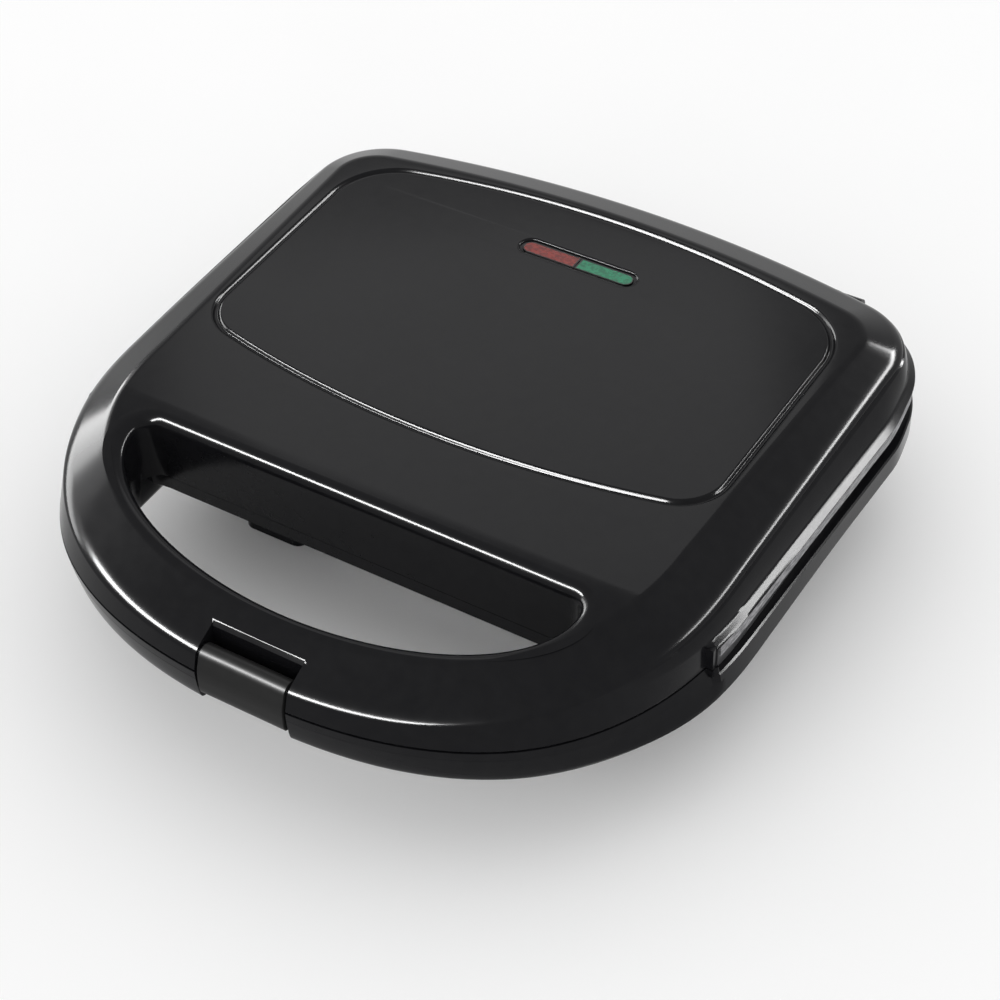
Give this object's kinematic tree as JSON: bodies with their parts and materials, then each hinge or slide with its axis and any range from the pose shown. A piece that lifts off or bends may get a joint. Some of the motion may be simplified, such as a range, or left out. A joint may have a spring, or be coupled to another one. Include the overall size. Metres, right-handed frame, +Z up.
{
  "type": "sandwich toaster",
  "caption": "two-slice sandwich toaster with hinged lid, cut-through front handle, front latch, triangular pocket plates, indicator lamps",
  "frame": {"origin": "on the table under the middle of the body, at the level of the rubber feet", "axes": "+Z up, +X to the right seen from the handle, +Y from the handle to the hinge"},
  "size_m": [0.2422, 0.2487, 0.07],
  "materials": {
    "black_casing": "glossy black moulded plastic with a faint leather-like grain",
    "black_latch": "glossy black moulded plastic",
    "coated_plate": "die-cast aluminium with a dark non-stick coating on the cooking side",
    "heater_steel": "oxidised tubular heating element",
    "bright_sheet": "bright pressed sheet steel",
    "screw_steel": "zinc-plated steel",
    "ceramic": "off-white ceramic or heat-proof moulding",
    "fuse_case": "metal fuse case",
    "wire_sleeve": "glass-fibre sleeved wire",
    "foot_rubber": "soft black rubber",
    "gland_rubber": "black cord gland",
    "red_lens": "translucent red lens",
    "green_lens": "translucent green lens",
    "lamp_glass": "small neon lamp"
  },
  "bodies": {
    "base": {"lower_housing": "black_casing", "lower_plate": "coated_plate", "lower_heater": "heater_steel", "lower_reflector": "bright_sheet", "lower_plate_screws": "screw_steel", "lower_reflector_screws": "screw_steel", "thermostat": "ceramic", "thermal_fuse": "fuse_case", "terminal_block": "ceramic", "lower_wires": "wire_sleeve", "latch_catch": "black_latch", "hinge_pins": "screw_steel", "rubber_feet": "foot_rubber", "cord_gland": "gland_rubber"},
    "lid": {"upper_housing": "black_casing", "upper_plate": "coated_plate", "upper_heater": "heater_steel", "upper_reflector": "bright_sheet", "upper_plate_screws": "screw_steel", "upper_reflector_screws": "screw_steel", "upper_wires": "wire_sleeve", "latch_pin": "screw_steel", "red_lens": "red_lens", "green_lens": "green_lens", "lamp_bracket": "ceramic", "neon_lamps": "lamp_glass", "lamp_screws": "screw_steel"},
    "latch": {"latch": "black_latch"}
  },
  "joints": [
    {"name": "lid_hinge", "type": "hinge", "parent": "base", "child": "lid", "pos_m": [0, 0.12, 0.048], "axis": [-1, 0, 0], "range_deg": [0, 100]},
    {"name": "latch_pivot", "type": "hinge", "parent": "lid", "child": "latch", "pos_m": [0, -0.1192, 0.0495], "axis": [-1, 0, 0], "range_deg": [0, 35]}
  ]
}
